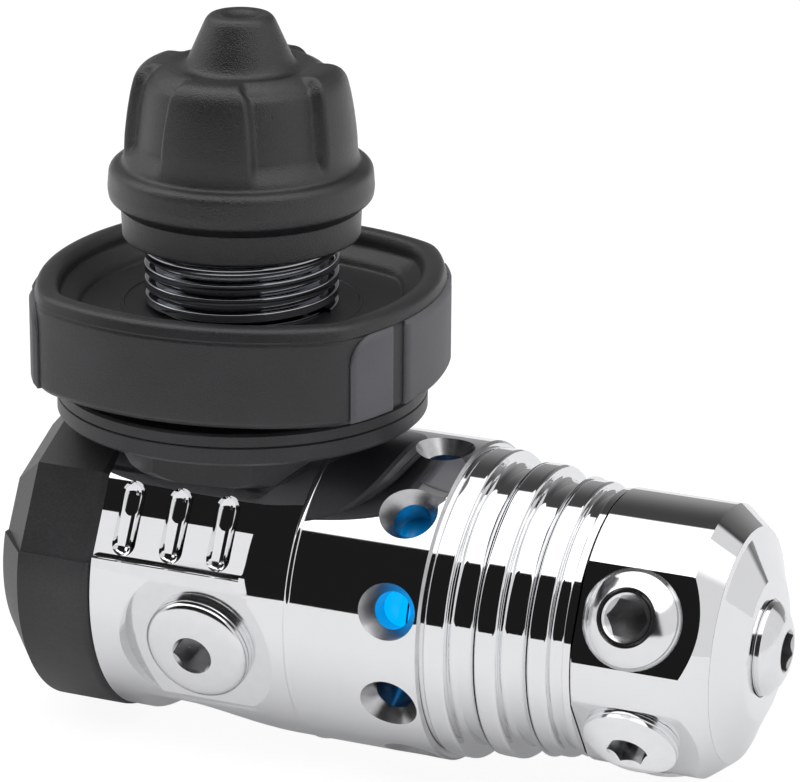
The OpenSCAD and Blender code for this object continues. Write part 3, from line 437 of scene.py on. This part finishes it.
wheel = {
    "faceTurn": -84.5, "across": 45.98, "faceCurve": 34.0, "length": 47.4, "endCurve": 32.4,
    "cornerSoft": 0.25, "columns": 384, "step": 1.5,
    # inset from the outline, height and how far the corner is rounded
    "profile": [(9.5, 25.0, 0), (0.7, 25.0, 0.3), (0.0, 25.7, 0.3), (0.0, 35.0, 0.1), (0.15, 35.3, 0.08),
                (0.0, 35.5, 0.06), (0.08, 35.75, 0.1), (0.35, 36.7, 0.5), (1.3, 37.0, 0.5), (2.45, 36.9, 0.5),
                (2.9, 36.1, 0.4), (3.0, 34.9, 0.4), (4.9, 33.9, 0.5), (5.3, 33.0, 0.3), (6.2, 33.0, 0)],
    # radius and height of the round rows in the middle and of the first row underneath
    "floor": [(14.3, 33.0), (14.2, 33.12), (13.9, 33.12), (13.8, 33.0), (10.56, 33.0), (10.56, 32.3)],
    "underside": (13.1, 25.0),
    "padSpans": [(-41.5, -25.8), (-20.3, 20.3), (25.8, 41.5)],    # degrees from the middle of an end
    "padFoot": 25.4, "padHeight": 10.0, "padArc": 3.2,
    "padProud": 0.6, "padSink": 0.4, "padEdge": 0.5, "padFall": 0.35,
    "padSteps": 36,
}


def wheelRadius(angle, inset):
    # the outline is what four wide curves have in common, with softened corners
    reach = []
    for turn, width, curve in ((0, wheel["across"], wheel["faceCurve"]),
                               (90, wheel["length"], wheel["endCurve"])):
        for side in (0, 180):
            aim = math.radians(wheel["faceTurn"] + turn + side)
            shift = width / 2 - curve
            offset = shift * math.cos(angle - aim)
            reach.append(offset + math.sqrt(offset * offset - shift * shift + (curve - inset) ** 2))
    low = min(reach)
    soft = wheel["cornerSoft"]
    return low - soft * math.log(sum(math.exp((low - r) / soft) for r in reach))


def addWheel():
    angles = ringAngles(wheel["columns"])
    rows = []
    for inset, z in dense(softened(wheel["profile"]), wheel["step"]):
        radii = [wheelRadius(a, inset) for a in angles]
        rows.append([(r * math.cos(a), r * math.sin(a), z) for r, a in zip(radii, angles)])
    rows[0] = circle(*wheel["underside"], angles)
    rows += [circle(r, z, angles) for r, z in wheel["floor"]]
    addPiece("handwheel", gridMesh("handwheel", rows), "wheel_black", "wheel", "handwheel", 50)


def addPad(bm, end, low, high):
    steps, arc = wheel["padSteps"], wheel["padArc"]
    width = math.radians(high - low) * wheel["length"] / 2
    grid = []
    for i in range(-1, steps + 2):
        u = min(1, max(0, i / steps))
        turn = low + (high - low) * u
        angle = math.radians(wheel["faceTurn"] + end + turn)
        left = math.radians(max(abs(low), abs(high)) - abs(turn)) * wheel["length"] / 2
        near = 0 if low * high < 0 else max(0, arc - left)        # the side pads' upper corners are round
        top = wheel["padHeight"] - arc + math.sqrt(arc * arc - near * near)
        column = []
        for k in range(-1, steps + 2):
            v = min(1, max(0, k / steps))
            edge = min(u * width, (1 - u) * width, v * top, (1 - v) * top)
            proud = wheel["padProud"] - wheel["padFall"] * (1 - smooth(edge / wheel["padEdge"]))
            if i < 0 or i > steps or k < 0 or k > steps:
                proud = -wheel["padSink"]                         # the rim goes into the wheel
            r = wheelRadius(angle, 0) + proud
            column.append(bm.verts.new((r * math.cos(angle) * mm, r * math.sin(angle) * mm,
                                        (wheel["padFoot"] + v * top + barrelZ) * mm)))
        grid.append(column)
    for i in range(steps + 2):
        for k in range(steps + 2):
            bm.faces.new((grid[i][k], grid[i + 1][k], grid[i + 1][k + 1], grid[i][k + 1]))


def addPads():
    bm = bmesh.new()
    for end in (90, 270):
        for low, high in wheel["padSpans"]:
            addPad(bm, end, low, high)
    mesh = bpy.data.meshes.new("gripPads")
    bm.to_mesh(mesh)
    bm.free()
    addPiece("gripPads", mesh, "pad_grey", "wheel", "grip_pads", 60)


addWheel()
addPads()
print("handwheel made")


thread = {
    "crest": 11.455, "root": 10.3, "pitch": 1.814, "firstCrest": 34.71, "count": 10,
    "bottom": 32.3, "top": 52.0, "columns": 160,
    "runOut": 1.0, "runOutEnd": 0.3,         # length over which the last turn fades, and its end
    # share of the pitch and share of the depth
    "profile": [(0.0, 0.0), (0.06, 0.03), (0.12, 0.25), (0.20, 0.8), (0.235, 0.95), (0.28, 1.0),
                (0.40, 0.985), (0.5, 0.98), (0.60, 0.985), (0.72, 1.0), (0.765, 0.95), (0.80, 0.8),
                (0.88, 0.25), (0.94, 0.03)],
    # radius and height of the core, from the top down the bore and up again outside
    "core": [(10.2, 51.95), (10.1, 52.006), (8.75, 52.006), (8.75, 50.306), (6.45, 50.306), (6.45, 24.2),
             (13.0, 24.2), (13.0, 32.2), (10.5, 32.2), (10.4, 33.2)],
}


def addThread():
    angles = ringAngles(thread["columns"])
    depth = thread["crest"] - thread["root"]
    rows = []
    for turn in range(-1, thread["count"] + 1):
        for share, height in thread["profile"]:
            row = []
            for angle in angles:
                z = thread["firstCrest"] + (turn - 0.5 + share + angle / (2 * math.pi)) * thread["pitch"]
                fade = smooth((thread["top"] - thread["runOutEnd"] - z) / thread["runOut"])
                r = thread["root"] + depth * height * fade
                z = min(thread["top"], max(thread["bottom"], z))
                row.append((r * math.cos(angle), r * math.sin(angle), z))
            rows.append(row)
    mesh = gridMesh("threadTurns", rows, len(thread["profile"]))
    core = gridMesh("threadCore", [circle(r, z, angles) for r, z in thread["core"]])
    bm = bmesh.new()
    bm.from_mesh(mesh)
    bm.from_mesh(core)
    bm.to_mesh(mesh)
    bm.free()
    addPiece("connectorThread", mesh, "screw_dark_chrome", "wheel", "din_screw", 50)


addThread()
print("thread made")


def outward(angle):
    # direction that leans up by this angle from the front
    return Vector((0, -math.cos(math.radians(angle)), math.sin(math.radians(angle))))


def offAxis(place, x, angle):
    # distance from the axis of a port
    across = place - Vector((x, 0, 0))
    return (across - across.dot(outward(angle)) * outward(angle)).length


def along(stops, t):
    for (a, low), (b, high) in zip(stops, stops[1:]):
        if t <= b:
            return low + (high - low) * max(0, t - a) / (b - a)
    return stops[-1][1]


chrome = {
    "weld": 5e-7, "cut": 1e-8,               # metres
    "sharp": 33,                             # degrees between faces that meet at a hard edge
    "weight": 90,                            # pull of the large faces on the normals
    "cones": [0.0, 0.614, 0.9052],           # axial part of the faces that are kept exactly round
    "coneSlack": 0.02, "coneAcross": 0.3,    # how far a face may be off a cone, and how level it may be
    "coneTrue": 0.9977,                      # cosine between the face and the radius through its corners
    "crownFront": 0.35,                      # cosine from a plug's axis within which its head is crowned
}

plugs = {
    "socket": 2.55,                          # reach of the hexagon sockets from their axis
    "lowX": 54.45, "lowAngle": 26,
    "highX": 2.4, "highAngle": -13,
    # where the crowned head begins, and how far it leans at each distance from the axis
    "lowFrom": 3.7, "lowCrown": [(3.7, 30), (4.6, 36), (5.3, 44), (5.84, 65)],
    "highFrom": 2.7, "highCrown": [(2.7, 3), (4.8, 7), (5.7, 16), (6.2, 40), (6.5, 80)],
}

spot = {
    # the flat sunk round the front high pressure port, and the low wall round it
    "radius": 9.95, "out": 10,               # from the port's axis, and out along it
    "wallFrom": 9.6, "wallOut": 16.5, "wallSteep": 0.9, "wallAim": 0.8,
    "flat": 0.9998, "bend": 0.1,             # its rim is a hard edge
}

holes = {
    # the ambient holes' middle, their reach to each side, and the radii of barrel and countersinks
    "x": 26.6, "reach": 4, "barrel": 18.97, "sunk": 18.5,
    "level": 0.02, "twist": 0.3,             # what counts as a face of the barrel itself
}

roundBody = {
    # what is shaded: in front of this depth, up to the seam with the barrel, and near the surface
    "front": -6, "end": 14.1, "radius": 18.9, "level": 0.02,
    # lean of the round body and of the face it shows, under the panel up to underEnd and beside it
    "underEnd": 8, "underLean": [(-90, -90), (0, 0), (20, 8), (40, 40), (90, 90)],
    "besideLean": [(-90, -90), (12, 12), (46, 33), (90, 90)],
}

panel = {
    # the fluted panel: its lean, the lean of the facet above it, and its limits in mm
    "angle": 28.6, "facetAngle": 65.2, "top": 6.5, "foot": -3.75, "end": 8.95,
    "out": 17.86, "landOut": 17.8, "landSlack": 0.15, "landTwist": 0.1,
    "slack": 0.05, "facetSlack": 2, "facetLevel": 0.02,
    "facing": 0.6,                           # cosine from the panel within which faces are cut
    "cuts": [7.4, 9.2, 13.4], "levels": 40, "levelStep": 0.35,
    # share of the way down and the angle at which the face leans there
    "lean": [(-0.3, 55), (0.0, 44), (0.10, 37), (0.12, 29), (0.2, 25), (0.46, 12), (0.50, 9), (0.65, 6),
             (1.0, 1)],
}
panelFace, panelRise = outward(panel["angle"]), outward(panel["angle"] + 90)
middle = Vector((0, 0, barrelZ * mm))


def bodyNormal(place, normal, flat):
    # normal at a corner of the fluted panel or of the body round it
    if place.y > roundBody["front"] or place.x > roundBody["end"]:
        return normal
    aim = outward(plugs["highAngle"])
    away = offAxis(place, plugs["highX"], plugs["highAngle"])
    onWall = spot["wallFrom"] < away < spot["radius"] and place.dot(aim) > spot["wallOut"]
    if onWall and abs(flat.dot(aim)) < spot["wallSteep"]:
        return (spot["wallAim"] * aim + (1 - spot["wallAim"]) * normal).normalized()
    level, out = place.dot(panelRise), place.dot(panelFace)
    if place.x < panel["end"] and out < panel["out"] and level > panel["foot"] - panel["slack"]:
        share = (panel["top"] - level) / (panel["top"] - panel["foot"])
        tilt = math.degrees(math.atan2(flat.z, -flat.y))
        onFacet = abs(tilt - panel["facetAngle"]) < panel["facetSlack"] and abs(flat.x) < panel["facetLevel"]
        inFlute = abs(out - panel["landOut"]) > panel["landSlack"] and abs(flat.x) < panel["landTwist"]
        if not onFacet and (share < -panel["slack"] or inFlute):
            return normal
        start = panel["facetAngle"] if onFacet else panel["angle"]
        return Matrix.Rotation(math.radians(start - along(panel["lean"], share)), 3, "X") @ normal
    if math.hypot(place.y, place.z) < roundBody["radius"] or abs(normal.x) > roundBody["level"]:
        return normal
    tilt = math.degrees(math.atan2(normal.z, -normal.y))
    return outward(along(roundBody["underLean" if place.x < roundBody["underEnd"] else "besideLean"], tilt))


def crownNormal(place, normal, crown):
    # normal at a corner of a plug's head, which curves away from the axis
    out = place - crown["foot"]
    away = out - out.dot(crown["aim"]) * crown["aim"]
    if away.length <= crown["from"]:
        return normal
    lean = math.radians(along(crown["lean"], away.length))
    return math.cos(lean) * crown["aim"] + math.sin(lean) * away.normalized()


def roundNormals(flat, places):
    # normals of a face that lies on a cylinder or a cone round the barrel's axis
    across = math.sqrt(max(0, 1 - flat.x ** 2))
    off = min(abs(flat.x - cone) for cone in chrome["cones"])
    if off >= chrome["coneSlack"] or across <= chrome["coneAcross"]:
        return []
    radials = [Vector((0, place.y, place.z)).normalized() for place in places]
    if any((flat.y * radial.y + flat.z * radial.z) / across <= chrome["coneTrue"] for radial in radials):
        return []
    return [Vector((flat.x, radial.y * across, radial.z * across)) for radial in radials]


def cutPanel(bm):
    # rows of short faces, so that the shading can change down the panel
    for x in panel["cuts"]:
        bmesh.ops.bisect_plane(bm, geom=bm.verts[:] + bm.edges[:] + bm.faces[:], dist=chrome["cut"],
                               plane_co=(x * mm, 0, 0), plane_no=(1, 0, 0))
    for k in range(panel["levels"]):
        level = panel["foot"] + panel["levelStep"] * (k + 0.5)
        faces = []
        for f in bm.faces:
            centre = f.calc_center_median()
            inFront = centre.y < roundBody["front"] * mm and centre.x < panel["end"] * mm
            if inFront and f.normal.dot(panelFace) > panel["facing"]:
                faces.append(f)
        edges = list({e for f in faces for e in f.edges})
        bmesh.ops.bisect_plane(bm, geom=faces + edges, dist=chrome["cut"],
                               plane_co=middle + panelRise * level * mm, plane_no=panelRise)


def polished(node, name, finish, body, fluted=False, satin=None, second="machined", crown=None):
    # a copy of the node with mirror faces, where satin picks the faces with the second finish
    source = nodes[node].data.copy()
    bm = bmesh.new()
    bm.from_mesh(source)
    bmesh.ops.remove_doubles(bm, verts=bm.verts, dist=chrome["weld"])
    if fluted:
        cutPanel(bm)
    for f in bm.faces:
        f.smooth = True
    aim = outward(plugs["highAngle"])
    for e in bm.edges:
        bend = e.calc_face_angle(0)
        onSpot = fluted and any(abs(f.normal.dot(aim)) > spot["flat"] for f in e.link_faces)
        hard = bend >= math.radians(chrome["sharp"]) or (onSpot and bend > spot["bend"])
        e.smooth = len(e.link_faces) == 2 and not hard
    bm.to_mesh(source)
    bm.free()
    piece = bpy.data.objects.new(name, source)
    bpy.context.scene.collection.objects.link(piece)
    weigh = piece.modifiers.new("weigh", "WEIGHTED_NORMAL")
    weigh.keep_sharp = True
    weigh.weight = chrome["weight"]
    bpy.context.view_layer.update()
    mesh = bpy.data.meshes.new_from_object(piece.evaluated_get(bpy.context.evaluated_depsgraph_get()))
    piece.modifiers.clear()
    piece.data = mesh
    normals = [corner.vector.copy() for corner in mesh.corner_normals]
    for polygon in mesh.polygons:
        flat, loops = polygon.normal, polygon.loop_indices
        places = [(mesh.vertices[mesh.loops[loop].vertex_index].co - middle) / mm for loop in loops]
        for loop, normal in zip(loops, roundNormals(flat, places)):
            normals[loop] = normal
        crowned = crown and flat.dot(crown["aim"]) > chrome["crownFront"]
        for loop, place in zip(loops, places):
            if crowned:
                normals[loop] = crownNormal(place, normals[loop], crown)
            if fluted:
                normals[loop] = bodyNormal(place, normals[loop], flat)
    mesh.normals_split_custom_set([tuple(n) for n in normals])
    mesh.materials.clear()
    mesh.materials.append(finishes[finish])
    if satin:
        mesh.materials.append(finishes[second])
        for polygon in mesh.polygons:
            place = (polygon.center - middle) / mm
            polygon.material_index = int(satin(place, polygon.normal))
    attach(piece, body)
    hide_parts(node)
    return piece


def inHole(place, normal):
    # the holes' countersinks and the bore behind them
    r = math.hypot(place.y, place.z)
    onBarrel = (r > holes["sunk"] and abs(normal.x) < holes["level"]
                and abs(place.y * normal.z - place.z * normal.y) < holes["twist"])
    return abs(place.x - holes["x"]) < holes["reach"] and r < holes["barrel"] and not onBarrel


def inSpot(place, normal):
    # the flat round the front high pressure port
    return (place.dot(outward(plugs["highAngle"])) > spot["out"]
            and offAxis(place, plugs["highX"], plugs["highAngle"]) < spot["radius"])


def addPlug(node, name, body, x, angle, start, crown, second):
    piece = polished(node, name, "chromed_brass", body,
                     satin=lambda place, normal: offAxis(place, x, angle) < plugs["socket"], second=second,
                     crown={"aim": outward(angle), "foot": Vector((x, 0, 0)), "from": start, "lean": crown})
    piece.data.materials[0] = finishes["satin_chrome"]


def addChrome():
    polished("inlet_body", "inletBody", "chromed_brass", "body", True, inSpot, "satin_chrome")
    polished("ambient_barrel", "ambientBarrel", "chromed_brass", "body", satin=inHole)
    polished("turret", "turretDrum", "chromed_brass", "turret")
    polished("turret_bolt", "turretBolt", "chromed_brass", "body")
    for i in range(4):
        addPlug("low_pressure_plug_%d" % (i + 1), "lowPlug%d" % (i + 1), "turret",
                plugs["lowX"], plugs["lowAngle"] - 90 * i, plugs["lowFrom"], plugs["lowCrown"],
                "burnished" if i == 1 else "machined")
    for node, name, angle in (("high_pressure_plug_front", "highPlugFront", plugs["highAngle"]),
                              ("high_pressure_plug_rear", "highPlugRear", 180 - plugs["highAngle"])):
        addPlug(node, name, "body", plugs["highX"], angle, plugs["highFrom"], plugs["highCrown"], "machined")
    piece = polished("end_port_plug", "endPlug", "chromed_brass", "body",
                     satin=lambda place, normal: math.hypot(place.y, place.z) < plugs["socket"])
    piece.data.materials[0] = finishes["satin_chrome"]


rings = {
    "columns": 256,
    # distance along the barrel and radius
    "seam": [(13.84, 18.97), (13.87, 19.02), (13.98, 19.1), (14.12, 19.14), (14.28, 19.14), (14.42, 19.1),
             (14.53, 19.02), (14.56, 18.97)],
    "bolt": [(63.80, 13.75), (63.85, 13.6), (63.95, 13.25), (64.05, 12.88)],
}


def addRing(name, profile):
    # thin chromed ring round the barrel's axis
    angles = ringAngles(rings["columns"])
    rows = [[(x, r * math.cos(a), r * math.sin(a)) for a in angles] for x, r in profile]
    addPiece(name, gridMesh(name, rows), "chromed_brass", "body")


addRing("seamBead", rings["seam"])
addRing("boltEdge", rings["bolt"])
addChrome()
print("chrome pieces polished")


spring = {
    "start": 16.6, "end": 32.8, "curls": 4.5, "radius": 12.35, "halfWidth": 1.6, "halfDepth": 1.4,
    "lean": 13, "holeX": 28.4,               # a curl stands behind the hole at this angle from the front
    "fixedEnd": 15.2, "movingEnd": 34.2, "travel": 0.9,
    "steps": 96, "across": 24,
    "taper": 3, "thinnest": 0.01,            # steps over which an end runs out, and its share of the wire
}


def addSpring():
    pitch = (spring["end"] - spring["start"]) / spring["curls"]
    turn = math.radians(spring["lean"]) - 2 * math.pi * (spring["holeX"] - spring["start"]) / pitch
    rows = []
    count = int(spring["curls"] * spring["steps"])
    for i in range(count + 1):
        share = i / spring["steps"]
        angle = turn + 2 * math.pi * share
        thin = max(spring["thinnest"], math.sqrt(min(1, min(i, count - i) / spring["taper"])))
        row = []
        for around in ringAngles(spring["across"]):
            r = spring["radius"] + spring["halfDepth"] * thin * math.cos(around)
            x = spring["start"] + pitch * share + spring["halfWidth"] * thin * math.sin(around)
            row.append((x, -r * math.cos(angle), r * math.sin(angle)))
        rows.append(row)
    piece = addPiece("mainSpring", gridMesh("mainSpring", rows), "spring_blue", "body", "main_spring")
    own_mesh(piece)


addSpring()
print("spring made")
